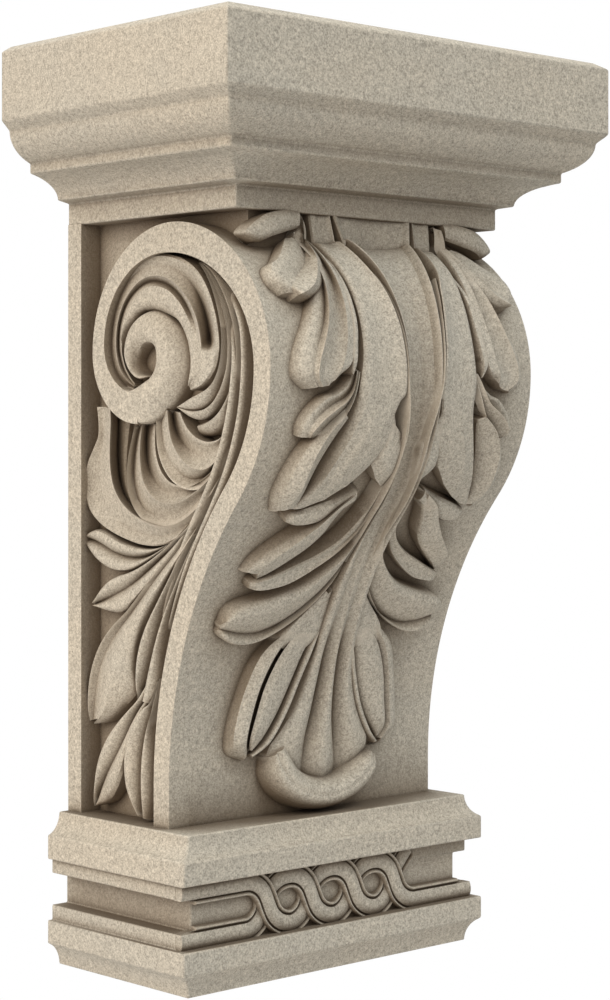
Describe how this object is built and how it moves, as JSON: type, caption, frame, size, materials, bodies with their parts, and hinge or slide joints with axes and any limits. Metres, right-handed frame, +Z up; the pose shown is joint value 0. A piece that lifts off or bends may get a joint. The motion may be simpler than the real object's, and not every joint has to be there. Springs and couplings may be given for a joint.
{
  "type": "carved stone corbel",
  "caption": "Carved stone corbel: moulded cap, scrolled bracket with leafy side panels and an acanthus front, on a plinth block with an interlaced strap frieze.",
  "frame": {"origin": "middle of the flat back face, halfway up the stone", "axes": "+Z up, +Y into the wall, -Y out along the projection, +X to the right of someone facing the wall"},
  "size_m": [0.228, 0.148, 0.4],
  "materials": {
    "sandstone": "fine grained, lightly weathered"
  },
  "bodies": {
    "root": {"corbel": "sandstone"}
  },
  "joints": []
}
